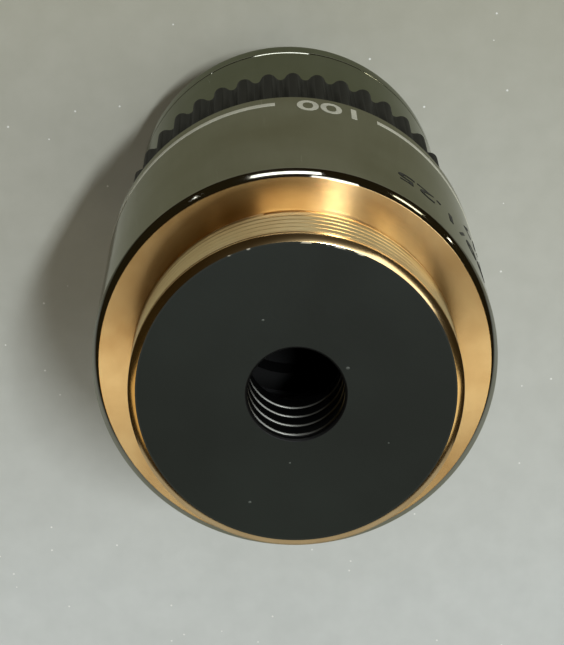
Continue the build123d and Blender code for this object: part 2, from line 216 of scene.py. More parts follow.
def new_group(name, inputs, outputs):
    """An empty shader group with float inputs (name: default) and float outputs."""
    group = bpy.data.node_groups.new(name, "ShaderNodeTree")
    for socket, default in inputs.items():
        item = group.interface.new_socket(socket, in_out="INPUT", socket_type="NodeSocketFloat")
        item.default_value = default
    for socket in outputs:
        group.interface.new_socket(socket, in_out="OUTPUT", socket_type="NodeSocketFloat")
    return group, group.nodes.new("NodeGroupInput"), group.nodes.new("NodeGroupOutput")


def math_node(tree, operation, first, second=None, clamp=False):
    """A Math node fed by sockets or numbers; gives back its output."""
    node = tree.nodes.new("ShaderNodeMath")
    node.operation = operation
    node.use_clamp = clamp
    for socket, value in zip(node.inputs, (first, second)):
        if value is None:
            continue
        if isinstance(value, (int, float)):
            socket.default_value = value
        else:
            tree.links.new(value, socket)
    return node.outputs[0]


def radius_and_height(tree):
    """The distance from the axis and the height, in metres, of the point being shaded."""
    coordinates = tree.nodes.new("ShaderNodeTexCoord")
    split = tree.nodes.new("ShaderNodeSeparateXYZ")
    tree.links.new(coordinates.outputs["Object"], split.inputs[0])
    squares = [math_node(tree, "MULTIPLY", split.outputs[i], split.outputs[i]) for i in (0, 1)]
    radius = math_node(tree, "SQRT", math_node(tree, "ADD", squares[0], squares[1]))
    return radius, split.outputs[2]


def lathe_rings_group():
    """Fine rings: noise that depends only on the radius and the height, as a tool's marks do."""
    group, inside, outside = new_group("lathe_rings", {"Rings per mm": 6.0}, ["Height"])
    radius, height = radius_and_height(group)
    per_metre = math_node(group, "MULTIPLY", inside.outputs["Rings per mm"], 1 / MM)
    join = group.nodes.new("ShaderNodeCombineXYZ")
    group.links.new(math_node(group, "MULTIPLY", radius, per_metre), join.inputs[0])
    group.links.new(math_node(group, "MULTIPLY", height, per_metre), join.inputs[1])
    noise = group.nodes.new("ShaderNodeTexNoise")
    noise.inputs["Scale"].default_value = 1
    noise.inputs["Detail"].default_value = 3
    group.links.new(join.outputs[0], noise.inputs["Vector"])
    group.links.new(noise.outputs["Fac"], outside.inputs["Height"])
    return group


def blotches_group():
    """Soft patches, for smudges, tarnish and uneven paint."""
    group, inside, outside = new_group("blotches", {"Scale": 150.0, "Low": 0.4, "High": 0.7}, ["Mask"])
    coordinates = group.nodes.new("ShaderNodeTexCoord")
    noise = group.nodes.new("ShaderNodeTexNoise")
    noise.inputs["Detail"].default_value = 5
    group.links.new(coordinates.outputs["Object"], noise.inputs["Vector"])
    group.links.new(inside.outputs["Scale"], noise.inputs["Scale"])
    ramp = group.nodes.new("ShaderNodeMapRange")
    group.links.new(noise.outputs["Fac"], ramp.inputs["Value"])
    group.links.new(inside.outputs["Low"], ramp.inputs["From Min"])
    group.links.new(inside.outputs["High"], ramp.inputs["From Max"])
    group.links.new(ramp.outputs["Result"], outside.inputs["Mask"])
    return group


def specks_group():
    """Sparse round dots. On the floor they are pale flecks, painted glitter of its foam."""
    group, inside, outside = new_group("specks", {"Per metre": 400.0, "Size": 0.08, "Share": 0.1}, ["Mask"])
    coordinates = group.nodes.new("ShaderNodeTexCoord")
    cells = group.nodes.new("ShaderNodeTexVoronoi")
    group.links.new(coordinates.outputs["Object"], cells.inputs["Vector"])
    group.links.new(inside.outputs["Per metre"], cells.inputs["Scale"])
    near = math_node(group, "LESS_THAN", cells.outputs["Distance"], inside.outputs["Size"])
    shade = group.nodes.new("ShaderNodeSeparateColor")
    group.links.new(cells.outputs["Color"], shade.inputs[0])
    chosen = math_node(group, "LESS_THAN", shade.outputs[0], inside.outputs["Share"])
    group.links.new(math_node(group, "MULTIPLY", near, chosen), outside.inputs["Mask"])
    return group


GROUPS = {"rings": lathe_rings_group(), "blotches": blotches_group(), "specks": specks_group()}

# %% [markdown]
# ## Finishes
#
# A finish is a Principled shader with its plain numbers set on the sockets, and the effect groups laid over
# its colour, roughness and height. Most colours are written as the bare material, and the light does the rest,
# but a few carry painted light: the paler thread brass, the darker rim brass and sleeve plating, and the
# floor's falloff and flecks.

# %% Material helpers


def new_material(name, color, metallic=0.0, roughness=0.5, **sockets):
    """A material with a Principled shader; sockets are set by name with _ for a space."""
    material = bpy.data.materials.new(name)
    material.use_nodes = True
    shader = material.node_tree.nodes["Principled BSDF"]
    shader.inputs["Base Color"].default_value = (*color, 1)
    shader.inputs["Metallic"].default_value = metallic
    shader.inputs["Roughness"].default_value = roughness
    for socket, value in sockets.items():
        shader.inputs[socket.replace("_", " ")].default_value = value
    return material, material.node_tree, shader


def effect(tree, kind, output, **values):
    """Places an effect group in a material and gives back one of its outputs."""
    node = tree.nodes.new("ShaderNodeGroup")
    node.node_tree = GROUPS[kind]
    for socket, value in values.items():
        node.inputs[socket.replace("_", " ")].default_value = value
    return node.outputs[output]


def mix_colors(tree, mask, first, second):
    """A colour mix by a mask. first and second are colours or sockets."""
    node = tree.nodes.new("ShaderNodeMix")
    node.data_type = "RGBA"
    tree.links.new(mask, node.inputs["Factor"])
    for socket, value in ((node.inputs[6], first), (node.inputs[7], second)):
        if isinstance(value, tuple):
            socket.default_value = (*value, 1)
        else:
            tree.links.new(value, socket)
    return node.outputs[2]


def ramp_number(tree, mask, low, high):
    """A mask from 0 to 1 turned into a number from low to high."""
    node = tree.nodes.new("ShaderNodeMapRange")
    tree.links.new(mask, node.inputs["Value"])
    node.inputs["To Min"].default_value = low
    node.inputs["To Max"].default_value = high
    return node.outputs["Result"]


def bump(tree, shader, height, strength, depth):
    """A Bump node of that strength, with the height's full swing in mm."""
    node = tree.nodes.new("ShaderNodeBump")
    node.inputs["Strength"].default_value = strength
    node.inputs["Distance"].default_value = depth * MM
    tree.links.new(height, node.inputs["Height"])
    tree.links.new(node.outputs[0], shader.inputs["Normal"])


def turn_tangent(tree, shader):
    """Points the shader's grain round the axis."""
    tangent = tree.nodes.new("ShaderNodeTangent")
    tangent.direction_type = "RADIAL"
    tangent.axis = "Z"
    tree.links.new(tangent.outputs[0], shader.inputs["Tangent"])


# %% The metals


def chrome_plate(name, bright, dull, edge_tint):
    """Thin plating over turned brass. The edge tint keeps it from going white where it is seen aslant."""
    material, tree, shader = new_material(name, bright, metallic=1, roughness=0.06)
    shader.inputs["Specular Tint"].default_value = (*edge_tint, 1)
    smudge = effect(tree, "blotches", "Mask", Scale=180, Low=0.35, High=0.75)
    tree.links.new(mix_colors(tree, smudge, bright, dull), shader.inputs["Base Color"])
    tree.links.new(ramp_number(tree, smudge, 0.04, 0.12), shader.inputs["Roughness"])
    bump(tree, shader, effect(tree, "rings", "Height", Rings_per_mm=9), 0.1, 0.002)
    return material


def turned_brass(name, bright=(0.86, 0.6, 0.3), dull=(0.62, 0.37, 0.15), roughness=0.18, grain=0.97):
    material, tree, shader = new_material(
        name, bright, metallic=1, roughness=roughness, Anisotropic=grain, Anisotropic_Rotation=0.25
    )
    tarnish = effect(tree, "blotches", "Mask", Scale=260, Low=0.4, High=0.8)
    tree.links.new(mix_colors(tree, tarnish, bright, dull), shader.inputs["Base Color"])
    bump(tree, shader, effect(tree, "rings", "Height", Rings_per_mm=14), 0.3, 0.004)
    turn_tangent(tree, shader)
    return material


def plain_steel(name, color, roughness):
    material, tree, shader = new_material(name, color, metallic=1, roughness=roughness)
    smudge = effect(tree, "blotches", "Mask", Scale=300)
    tree.links.new(ramp_number(tree, smudge, roughness, roughness + 0.12), shader.inputs["Roughness"])
    return material


chrome = chrome_plate("chrome_plate", (0.38, 0.375, 0.33), (0.31, 0.3, 0.25), (0.5, 0.5, 0.42))
# The sleeve and the cone get a darker copy of the plating: painted shade for the darker floor they mirror.
shaded_sleeve_chrome = chrome_plate("shaded_sleeve_chrome", (0.31, 0.32, 0.28), (0.26, 0.27, 0.22), (0.42, 0.43, 0.36))
brass = turned_brass("bare_brass")
# The rim's brass is darker than the shoulder's: painted shade, so that the rim reads dark. It is also smoother
# and without grain, which is its real finish.
shaded_rim_brass = turned_brass("shaded_rim_brass", (0.7, 0.5, 0.26), (0.5, 0.32, 0.14), 0.16, 0)
# The thread's brass is paler than the shoulder's, though both are one turning: painted sheen for the light the
# stub's wall mirrors off the shoulder.
lit_thread_brass = turned_brass("lit_thread_brass", (0.9, 0.72, 0.42), (0.78, 0.55, 0.28), 0.28, 0.6)
spring_steel = plain_steel("spring_steel", (0.5, 0.5, 0.52), 0.3)
screw_steel = plain_steel("screw_steel", (0.12, 0.12, 0.13), 0.35)
nose_steel = plain_steel("nose_steel", (0.6, 0.6, 0.58), 0.16)

# %% The blacks


def rear_lacquer():
    """Flat black paint on the rear face, a little uneven in colour, gloss and surface."""
    material, tree, shader = new_material(
        "rear_lacquer", (0.006, 0.01, 0.008), roughness=0.5, Specular_IOR_Level=0.38
    )
    patch = effect(tree, "blotches", "Mask", Scale=120)
    color = mix_colors(tree, patch, (0.003, 0.006, 0.004), (0.005, 0.009, 0.006))
    tree.links.new(color, shader.inputs["Base Color"])
    tree.links.new(ramp_number(tree, patch, 0.46, 0.56), shader.inputs["Roughness"])
    bump(tree, shader, effect(tree, "blotches", "Mask", Scale=2500, Low=0.3, High=0.7), 0.2, 0.01)
    return material


def black_anodised():
    """Matte black on the grip ring, a little greyer where fingers rub."""
    material, tree, shader = new_material(
        "black_anodised", (0.008, 0.008, 0.006), roughness=0.6, Specular_IOR_Level=0.12
    )
    rub = effect(tree, "blotches", "Mask", Scale=400, Low=0.5, High=0.8)
    color = mix_colors(tree, rub, (0.007, 0.007, 0.005), (0.014, 0.013, 0.01))
    tree.links.new(color, shader.inputs["Base Color"])
    bump(tree, shader, effect(tree, "blotches", "Mask", Scale=3000, Low=0.3, High=0.7), 0.2, 0.01)
    return material


def bore_black(name, roughness):
    """Dull black inside the light path."""
    material, tree, shader = new_material(
        name, (0.003, 0.003, 0.003), roughness=roughness, Specular_IOR_Level=0.2
    )
    tree.links.new(
        ramp_number(tree, effect(tree, "blotches", "Mask", Scale=500), roughness, roughness + 0.1),
        shader.inputs["Roughness"],
    )
    return material


def worn_ledge():
    """The ledges of the grooves, where the blacking is thin and the cut metal still glints."""
    material, tree, shader = new_material("worn_ledge", (0.1, 0.1, 0.09), metallic=1, roughness=0.3)
    thin = effect(tree, "blotches", "Mask", Scale=700, Low=0.35, High=0.7)
    color = mix_colors(tree, thin, (0.15, 0.15, 0.14), (0.08, 0.08, 0.07))
    tree.links.new(color, shader.inputs["Base Color"])
    return material


def chipped_rim():
    """The rim of the paint, worn through to bright metal in short stretches on one side."""
    paint_color, metal_color, knocked_from = (0.006, 0.01, 0.008), (0.8, 0.76, 0.66), -8.8
    material, tree, shader = new_material("chipped_rim", paint_color, roughness=0.4)
    worn = effect(tree, "blotches", "Mask", Scale=900, Low=0.52, High=0.56)
    coordinates = tree.nodes.new("ShaderNodeTexCoord")
    split = tree.nodes.new("ShaderNodeSeparateXYZ")
    tree.links.new(coordinates.outputs["Object"], split.inputs[0])
    knocked = math_node(tree, "LESS_THAN", split.outputs[1], knocked_from * MM)
    chip = math_node(tree, "MULTIPLY", worn, knocked)
    tree.links.new(mix_colors(tree, chip, paint_color, metal_color), shader.inputs["Base Color"])
    tree.links.new(chip, shader.inputs["Metallic"])
    return material


lacquer = rear_lacquer()
chipped = chipped_rim()
grip_black = black_anodised()
bore = bore_black("bore_black", 0.45)
cell_black = bore_black("cell_black", 0.6)
ledge_glint = worn_ledge()

# %% Glass and the paint in the markings


def coated_glass():
    material, tree, shader = new_material(
        "coated_glass", (0.95, 0.97, 0.96), roughness=0.03, Transmission_Weight=0.9, IOR=1.6
    )
    shader.inputs["Coat Weight"].default_value = 0.3
    haze = effect(tree, "blotches", "Mask", Scale=400)
    tree.links.new(ramp_number(tree, haze, 0.02, 0.05), shader.inputs["Roughness"])
    return material


def filled_paint(name, color, shine=0.5):
    material, tree, shader = new_material(name, color, roughness=0.45, Specular_IOR_Level=shine)
    worn = effect(tree, "blotches", "Mask", Scale=900, Low=0.4, High=0.8)
    darker = tuple(0.82 * c for c in color)
    tree.links.new(mix_colors(tree, worn, color, darker), shader.inputs["Base Color"])
    return material


glass = coated_glass()
white_paint = filled_paint("white_paint", (0.62, 0.61, 0.52), 0.3)
dust_grey = filled_paint("dust_grey", (0.07, 0.08, 0.07))
black_paint = filled_paint("black_paint", (0.01, 0.01, 0.009), 0.1)

# %% [markdown]
# ## Mount barrel
#
# One brass turning carries the screw stub, the shoulder and the barrel. Only the barrel is plated: the
# shoulder and the stub are bare brass, faced after plating so that they seat true. The half-section goes
# up the bore, over the rim of the stub and down the outside.

# %% Turn the mount barrel
REAR_FACE, SHOULDER, BARREL_FRONT = 4.8, 0.0, -16.85
BARREL_RADIUS, THREAD_RADIUS, STOP_RADIUS, CHAMBER_RADIUS = 12.65, 10.16, 7.96, 9.0
RIM_RADIUS, RIM_HEIGHT, LIP, THREAD_CORE, CHAMBER_TOP = 9.7, 0.25, 0.32, 9.9, -1.5
SLEEVE_THREAD_RADIUS, SLEEVE_THREAD_TOP = 10.4, -12.6
EDGE_BREAK, FRONT_BREAK, PAINT = 0.45, 0.1, 0.02
MARKS_LIFT = 0.02
PLATED_RADIUS = BARREL_RADIUS - MARKS_LIFT

mount_section = [
    (STOP_RADIUS, REAR_FACE - PAINT),
    (RIM_RADIUS, REAR_FACE - PAINT),
    (THREAD_RADIUS, REAR_FACE - RIM_HEIGHT),
    (THREAD_RADIUS, REAR_FACE - RIM_HEIGHT - LIP),
    (THREAD_CORE, REAR_FACE - RIM_HEIGHT - LIP - 0.04),
    (THREAD_CORE, SHOULDER),
    (PLATED_RADIUS - EDGE_BREAK, SHOULDER),
    (PLATED_RADIUS, SHOULDER - EDGE_BREAK),
    (PLATED_RADIUS, BARREL_FRONT + FRONT_BREAK),
    (PLATED_RADIUS - FRONT_BREAK, BARREL_FRONT),
    (SLEEVE_THREAD_RADIUS, BARREL_FRONT),
    (SLEEVE_THREAD_RADIUS, SLEEVE_THREAD_TOP),
    (CHAMBER_RADIUS, SLEEVE_THREAD_TOP),
    (CHAMBER_RADIUS, CHAMBER_TOP),
    (STOP_RADIUS, CHAMBER_TOP),
]
mount_turning = turned("mount_turning", mount_section, edge=0.02)


def mount_finish(radius, height):
    """0 chrome, 1 turned brass, 2 smooth brass rim, darkened with painted shade, 3 black inside."""
    if height > SHOULDER - 0.01 and THREAD_CORE - 0.3 < radius < PLATED_RADIUS - EDGE_BREAK + 0.01:
        return 2 if height > REAR_FACE - RIM_HEIGHT - 0.01 else 1
    if radius > BARREL_RADIUS - 0.5 or height < BARREL_FRONT + 0.05:
        return 0
    return 3


paint(mount_turning, [chrome, brass, shaded_rim_brass, bore], mount_finish)
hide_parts("mount_barrel")
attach(mount_turning, "mount_body")

# %% [markdown]
# ## Rear stop
#
# A black plug is screwed into the stub, and the spring pushes on its lower face. Grooves are cut into the
# wall of its hole, each with a ledge below and a slope above, so that light glancing off the wall is thrown
# back. Paint covers the plug and the stub's end alike, and it is chipped along the rim. The paint is a thin
# disc of its own, because its chipped edge needs a finish that the turned pieces don't have.

# %% Turn the rear stop and lay its paint
HOLE_RADIUS, TRAP_PITCH, TRAP_DEPTH, TRAP_COUNT = 2.95, 1.4, 0.2, 4
TRAP_RAISE, HOLE_BREAK, STOP_GAP = 0.35, 0.15, 0.01
trap_middle = (REAR_FACE + CHAMBER_TOP) / 2 + TRAP_RAISE
ledge_heights = []
stop_section = [(HOLE_RADIUS, CHAMBER_TOP)]
for index in range(TRAP_COUNT):
    centre = trap_middle + (index - (TRAP_COUNT - 1) / 2) * TRAP_PITCH
    ledge_heights.append(centre - 0.88 * TRAP_DEPTH)
    stop_section += [
        (HOLE_RADIUS, centre - TRAP_DEPTH),
        (HOLE_RADIUS + 0.6 * TRAP_DEPTH, centre - 0.76 * TRAP_DEPTH),
        (HOLE_RADIUS + TRAP_DEPTH, centre - 0.3 * TRAP_DEPTH),
        (HOLE_RADIUS, centre + 1.6 * TRAP_DEPTH),
    ]
stop_section += [
    (HOLE_RADIUS, REAR_FACE - HOLE_BREAK),
    (HOLE_RADIUS + HOLE_BREAK - PAINT, REAR_FACE - PAINT),
    (STOP_RADIUS - STOP_GAP, REAR_FACE - PAINT),
    (STOP_RADIUS - STOP_GAP, CHAMBER_TOP),
]
stop_turning = turned("stop_turning", stop_section, edge=0.03)


def stop_finish(radius, height):
    """0 dull black, 1 the ledge below each groove."""
    on_ledge = any(abs(height - ledge) < 0.14 * TRAP_DEPTH for ledge in ledge_heights)
    return 1 if on_ledge and radius < HOLE_RADIUS + TRAP_DEPTH else 0


paint(stop_turning, [bore, ledge_glint], stop_finish)
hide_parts("rear_stop")
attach(stop_turning, "mount_body")

CHIP_WIDTH = 0.1
rear_paint = turned(
    "rear_paint",
    [
        (HOLE_RADIUS + HOLE_BREAK, REAR_FACE - 1.2 * PAINT),
        (HOLE_RADIUS + HOLE_BREAK, REAR_FACE - PAINT / 2),
        (RIM_RADIUS - CHIP_WIDTH, REAR_FACE - PAINT / 2),
        (RIM_RADIUS, REAR_FACE - PAINT / 2),
        (RIM_RADIUS, REAR_FACE - 1.2 * PAINT),
    ],
    edge=0,
)
paint(
    rear_paint,
    [lacquer, chipped],
    lambda radius, height: 1 if radius > RIM_RADIUS - 1.1 * CHIP_WIDTH else 0,
)
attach(rear_paint, "mount_body")

# %% Dust on the paint
FLECKS = [(1.99, -4.79, 0.09), (-3.08, -1.7, 0.12), (2.83, 7.11, 0.1), (0.38, 4.5, 0.07), (-5.6, 3.2, 0.06)]
flecks = []
for x, y, size in FLECKS:
    deselect_all()
    bpy.ops.mesh.primitive_uv_sphere_add(
        segments=12, ring_count=6, radius=size * MM, location=(x * MM, y * MM, (REAR_FACE - PAINT / 2) * MM)
    )
    fleck = bpy.context.object
    fleck.scale = (1, 0.7, 0.45 * PAINT / size)
    flecks.append(fleck)
deselect_all()
for fleck in flecks:
    fleck.select_set(True)
bpy.context.view_layer.objects.active = flecks[0]
bpy.ops.object.join()
dust_flecks = settle(bpy.context.object, "dust_flecks")
smooth(dust_flecks)
paint(dust_flecks, [dust_grey])
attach(dust_flecks, "mount_body")

# %% [markdown]
# ## Screw thread
#
# The mounting thread has 36 turns to the inch. A Screw modifier winds one pitch of its outline up the stub,
# two planes cut the ends square, and Solidify gives the skin a wall, because the stub fills the inside.

# %% Wind the thread
THREAD_PITCH, THREAD_DEPTH = 25.4 / 36, 0.16
thread_points = []
for step in range(9):
    rise = step / 8
    thread_points.append(
        (THREAD_RADIUS - THREAD_DEPTH * (0.5 - 0.5 * math.cos(2 * math.pi * rise)), (rise - 1) * THREAD_PITCH)
    )
mount_thread = outline_edges(thread_points)
bpy.ops.object.mode_set(mode="OBJECT")
settle(mount_thread, "mount_thread")
finish_modifier(
    mount_thread,
    "SCREW",
    axis="Z",
    angle=2 * math.pi,
    screw_offset=THREAD_PITCH * MM,
    iterations=8,
    steps=TURN_STEPS,
    render_steps=TURN_STEPS,
    use_merge_vertices=True,
    merge_threshold=0.001 * MM,
)
only(mount_thread)
bpy.ops.object.mode_set(mode="EDIT")
bpy.ops.mesh.select_all(action="SELECT")
bpy.ops.mesh.remove_doubles(threshold=0.001 * MM)
for cut_height, drop_above in ((REAR_FACE - RIM_HEIGHT - LIP + 0.06, True), (0.12, False)):
    bpy.ops.mesh.select_all(action="SELECT")
    bpy.ops.mesh.bisect(
        plane_co=(0, 0, cut_height * MM), plane_no=(0, 0, 1), clear_outer=drop_above, clear_inner=not drop_above
    )
bpy.ops.mesh.select_all(action="SELECT")
bpy.ops.mesh.normals_make_consistent(inside=False)
bpy.ops.object.mode_set(mode="OBJECT")
finish_modifier(mount_thread, "SOLIDIFY", thickness=0.25 * MM, offset=-1)
smooth(mount_thread, 50)
paint(mount_thread, [lit_thread_brass])
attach(mount_thread, "mount_body")
print("thread", len(mount_thread.data.polygons), "faces")

# %% [markdown]
# ## Grip ring
#
# The grip ring has 42 ribs, and a round cutter left the flutes between them. In section, a flute's arc runs
# straight into the arc of the next rib's crest, so one pitch of the outline is two arcs that touch. That
# pitch is drawn once and copied round, and the closed outline is extruded down the ring.

# %% Draw one pitch of the ribs
GRIP_RADIUS, GRIP_BACK, GRIP_FRONT, GRIP_SEAT = 12.03, -16.85, -25.8, 10.92
RIBS, RIB_DEPTH, FLUTE_RADIUS, RIB_TURN = 42, 0.5, 0.42, 269.05
ARC_STEPS = 5
half_pitch = math.pi * GRIP_RADIUS / RIBS
both_radii = (half_pitch**2 + RIB_DEPTH**2) / (2 * RIB_DEPTH)
crest_radius = both_radii - FLUTE_RADIUS
lean = math.atan2(half_pitch, both_radii - RIB_DEPTH)


def rib_point(across, radius):
    """A point of the outline, that far across from the rib's middle and that far from the axis."""
    angle = math.radians(RIB_TURN) + across / GRIP_RADIUS
    return Vector((radius * math.cos(angle), radius * math.sin(angle), GRIP_BACK)) * MM


pitch_points = []
for step in range(-ARC_STEPS, ARC_STEPS + 1):
    turn_angle = lean * step / ARC_STEPS
    pitch_points.append(
        rib_point(
            crest_radius * math.sin(turn_angle), GRIP_RADIUS - crest_radius * (1 - math.cos(turn_angle))
        )
    )
for step in range(ARC_STEPS - 1, -ARC_STEPS - 1, -1):
    turn_angle = lean * step / ARC_STEPS
    pitch_points.append(
        rib_point(
            half_pitch - FLUTE_RADIUS * math.sin(turn_angle),
            GRIP_RADIUS - RIB_DEPTH + FLUTE_RADIUS * (1 - math.cos(turn_angle)),
        )
    )
deselect_all()
bpy.ops.mesh.primitive_plane_add(size=MM, location=pitch_points[0])
grip_ring_ribs = bpy.context.object
bpy.ops.object.mode_set(mode="EDIT")
bpy.ops.mesh.select_all(action="SELECT")
bpy.ops.mesh.merge(type="CENTER")
for point, last in zip(pitch_points[1:], pitch_points):
    bpy.ops.mesh.extrude_region_move(TRANSFORM_OT_translate={"value": point - last})

# %% Copy the pitch round and extrude the ring
bpy.ops.mesh.select_all(action="SELECT")
bpy.ops.mesh.spin(steps=RIBS, angle=2 * math.pi, dupli=True, center=(0, 0, 0), axis=(0, 0, 1))
bpy.ops.mesh.select_all(action="SELECT")
bpy.ops.mesh.remove_doubles(threshold=0.005 * MM)


def extrude_outline(down, scale):
    """Extrudes the selected outline down by so many mm and draws it in or out."""
    bpy.ops.mesh.extrude_region_move(TRANSFORM_OT_translate={"value": (0, 0, -down * MM)})
    bpy.ops.transform.resize(value=(scale, scale, 1), center_override=(0, 0, 0))


bpy.ops.mesh.select_all(action="SELECT")
END_BREAK = 0.25
to_full = GRIP_RADIUS / (GRIP_RADIUS - END_BREAK)
bpy.ops.transform.resize(value=(1 / to_full, 1 / to_full, 1), center_override=(0, 0, 0))
extrude_outline(END_BREAK, to_full)
extrude_outline(GRIP_BACK - GRIP_FRONT - 2 * END_BREAK, 1)
extrude_outline(END_BREAK, 1 / to_full)
to_seat = GRIP_SEAT / (GRIP_RADIUS - RIB_DEPTH)
extrude_outline(0, to_seat * to_full)
extrude_outline(GRIP_FRONT - GRIP_BACK, 1)
extrude_outline(0, 1 / (to_seat * to_full))
bpy.ops.mesh.select_all(action="SELECT")
bpy.ops.mesh.remove_doubles(threshold=0.005 * MM)
bpy.ops.mesh.normals_make_consistent(inside=False)
bpy.ops.object.mode_set(mode="OBJECT")
settle(grip_ring_ribs, "grip_ring_ribs")
smooth(grip_ring_ribs, 40)
paint(grip_ring_ribs, [grip_black])
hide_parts("grip_ring")
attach(grip_ring_ribs, "mount_body")
print("grip ring", len(grip_ring_ribs.data.polygons), "faces")

# %% [markdown]
# ## Front sleeve and nose cone
#
# The sleeve and the cone meet in a bevelled joint that shows as one bright line. Each is spun whole, with
# the bore that guides the lens barrel, because the nose is open and can be looked into.

# %% Turn the sleeve and the cone
SLEEVE_RADIUS, SLEEVE_FRONT, SLEEVE_BACK = 11.37, -34.2, -12.7
GUIDE_RADIUS, RELIEF_RADIUS, GUIDE_END, RELIEF_END = 8.0, 8.3, -20.0, -30.1
SPIGOT_RADIUS, NECK_RADIUS, CONE_THREAD_RADIUS = 10.38, 10.9, 9.6
SLEEVE_BACK_BREAK, SLEEVE_FRONT_BREAK, JOINT_GAP = 0.12, 0.14, 0.01
sleeve_turning = turned(
    "sleeve_turning",
    [
        (GUIDE_RADIUS, SLEEVE_BACK),
        (SPIGOT_RADIUS, SLEEVE_BACK),
        (SPIGOT_RADIUS, BARREL_FRONT - JOINT_GAP),
        (NECK_RADIUS, BARREL_FRONT - JOINT_GAP),
        (NECK_RADIUS, GRIP_FRONT),
        (SLEEVE_RADIUS - SLEEVE_BACK_BREAK, GRIP_FRONT),
        (SLEEVE_RADIUS, GRIP_FRONT - SLEEVE_BACK_BREAK),
        (SLEEVE_RADIUS, SLEEVE_FRONT + SLEEVE_FRONT_BREAK),
        (SLEEVE_RADIUS - SLEEVE_FRONT_BREAK, SLEEVE_FRONT),
        (CONE_THREAD_RADIUS, SLEEVE_FRONT),
        (CONE_THREAD_RADIUS, RELIEF_END),
        (RELIEF_RADIUS, RELIEF_END),
        (RELIEF_RADIUS, GUIDE_END),
        (GUIDE_RADIUS, GUIDE_END),
    ],
    edge=0.03,
)
paint(sleeve_turning, [shaded_sleeve_chrome, bore], lambda radius, height: 0 if radius > 10 else 1)
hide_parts("front_sleeve")
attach(sleeve_turning, "mount_body")

CONE_LAND_FRONT, CONE_FRONT, CONE_SEAT, CONE_BACK = -36.25, -43.32, -36.6, -30.2
CONE_OPENING, CONE_FACE, CONE_SPIGOT = 5.75, 6.5, 9.58
SEAM_WIDTH, SEAM_HEIGHT, LAND_BREAK = 0.28, 0.22, 0.3
cone_turning = turned(
    "cone_turning",
    [
        (GUIDE_RADIUS, CONE_BACK),
        (CONE_SPIGOT, CONE_BACK),
        (CONE_SPIGOT, SLEEVE_FRONT - JOINT_GAP),
        (SLEEVE_RADIUS - SEAM_WIDTH, SLEEVE_FRONT - JOINT_GAP),
        (SLEEVE_RADIUS, SLEEVE_FRONT - SEAM_HEIGHT),
        (SLEEVE_RADIUS, CONE_LAND_FRONT + LAND_BREAK),
        (SLEEVE_RADIUS - 0.2 * LAND_BREAK, CONE_LAND_FRONT),
        (SLEEVE_RADIUS - 0.8 * LAND_BREAK, CONE_LAND_FRONT - LAND_BREAK),
        (CONE_FACE, CONE_FRONT),
        (CONE_OPENING, CONE_FRONT),
        (CONE_OPENING, CONE_SEAT),
        (GUIDE_RADIUS, CONE_SEAT),
    ],
    edge=0.04,
)
paint(
    cone_turning,
    [shaded_sleeve_chrome, bore],
    lambda radius, height: 1 if radius < CONE_OPENING + 0.05 or height > SLEEVE_FRONT + 0.1 else 0,
)
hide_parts("nose_cone")
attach(cone_turning, "mount_body")

# %% [markdown]
# ## Tip
#
# The tip is a small hard cone that holds the front lens. It belongs to the sprung lens unit, so it slides
# back with it.

# %% Turn the tip
TIP_END, TIP_SHOULDER, TIP_BACK, SPIGOT_BACK = -44.87, -41.9, -41.2, -39.6
LENS_SEAT, TIP_FACE, TIP_RADIUS, TIP_SPIGOT, TIP_CAVITY = 1.03, 4.3, 5.4, 4.38, 3.4
FACE_THICKNESS = 0.5
tip_turning = turned(
    "tip_turning",
    [
        (LENS_SEAT, TIP_END),
        (TIP_FACE, TIP_END),
        (TIP_RADIUS, TIP_SHOULDER),
        (TIP_RADIUS, TIP_BACK),
        (TIP_SPIGOT, TIP_BACK),
        (TIP_SPIGOT, SPIGOT_BACK),
        (TIP_CAVITY, SPIGOT_BACK),
        (LENS_SEAT, TIP_END + FACE_THICKNESS),
    ],
    edge=0.05,
)
paint(tip_turning, [nose_steel])
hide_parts("front_cell")
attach(tip_turning, "lens_unit")

# %% [markdown]
# ## Markings
#
# The colour line is a groove filled with paint, and it stops on both sides of the magnification. Numbers are
# text turned into a mesh and wrapped onto the barrel: along the text becomes an angle, up stays up.

# %% Draw the line and the numbers


def line_arc(name, radius, low, high, from_degrees, span_degrees, material):
    """A thin band of paint round the barrel, from one angle back round to span_degrees before it."""
    root = radius - 2 * MARKS_LIFT
    piece = outline_edges([(root, low), (radius, low), (radius, high), (root, high), (root, low)])
    spin_round(240, span_degrees, from_degrees)
    bpy.ops.mesh.select_all(action="DESELECT")
    bpy.ops.mesh.select_mode(type="EDGE")
    bpy.ops.mesh.select_non_manifold()
    bpy.ops.mesh.edge_face_add()
    bpy.ops.mesh.select_all(action="SELECT")
    bpy.ops.mesh.normals_make_consistent(inside=False)
    bpy.ops.object.mode_set(mode="OBJECT")
    settle(piece, name)
    smooth(piece)
    paint(piece, [material])
    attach(piece, "mount_body")
    return piece


def wrapped_text(name, words, radius, low, high, from_degrees, to_degrees, weight, material):
    """Plain numbers on the barrel, stretched to fill a stretch of angle and height."""
    deselect_all()
    bpy.ops.object.text_add(location=(0, 0, 0))
    piece = bpy.context.object
    piece.data.body = words
    piece.data.extrude = 0.01
    piece.data.offset = weight
    bpy.ops.object.convert(target="MESH")
    piece = bpy.context.object
    corners = [v.co for v in piece.data.vertices]
    left, right = min(c.x for c in corners), max(c.x for c in corners)
    bottom, top = min(c.y for c in corners), max(c.y for c in corners)
    for vertex in piece.data.vertices:
        along = (vertex.co.x - left) / (right - left)
        up = (vertex.co.y - bottom) / (top - bottom)
        angle = math.radians(from_degrees + along * (to_degrees - from_degrees))
        reach = (radius if vertex.co.z > 0 else radius - 3 * MARKS_LIFT) * MM
        vertex.co = (reach * math.cos(angle), reach * math.sin(angle), (low + up * (high - low)) * MM)
    settle(piece, name)
    paint(piece, [material])
    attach(piece, "mount_body")
    return piece


